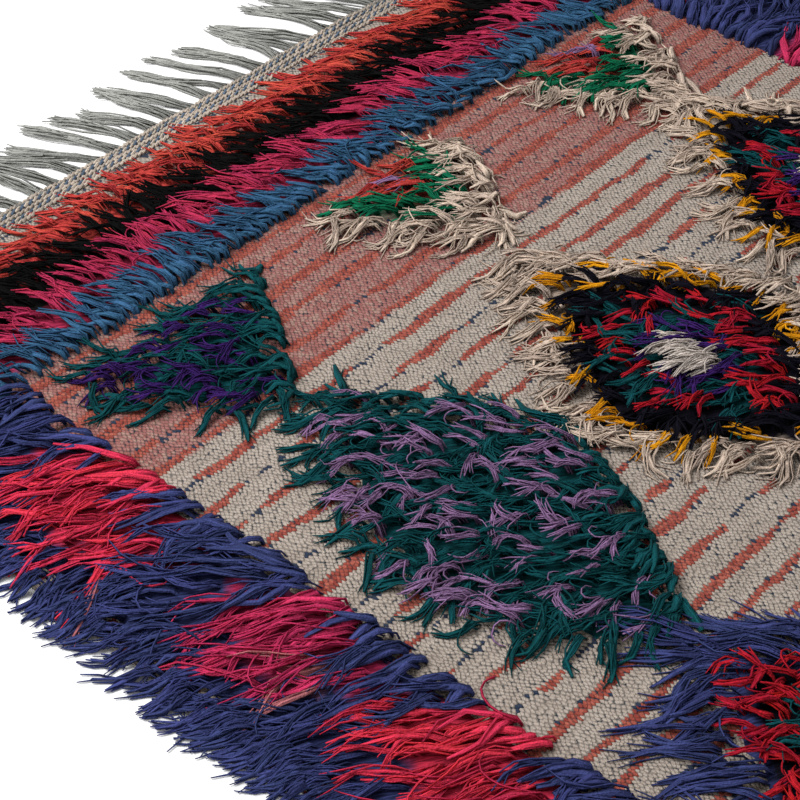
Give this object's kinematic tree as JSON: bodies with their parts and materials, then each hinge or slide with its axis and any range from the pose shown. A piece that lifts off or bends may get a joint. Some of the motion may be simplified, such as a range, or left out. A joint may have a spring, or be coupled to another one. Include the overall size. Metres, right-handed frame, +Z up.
{
  "type": "hand-woven wool rug",
  "caption": "Flat wool rug with a striped flat-woven ground, coloured shag bands, borders and diamonds, and a warp fringe at one end.",
  "frame": {"origin": "middle of the underside, measured over the fringe and the rim locks", "axes": "+Z up from the floor, +Y along the warp toward the fringe, +X along the weft"},
  "size_m": [1.264, 1.76, 0.0224],
  "materials": {
    "wool": "matt woven ground with shag",
    "warp": "matt loose yarn"
  },
  "bodies": {
    "root": {"rug": "wool", "fringe": "warp"}
  },
  "joints": []
}
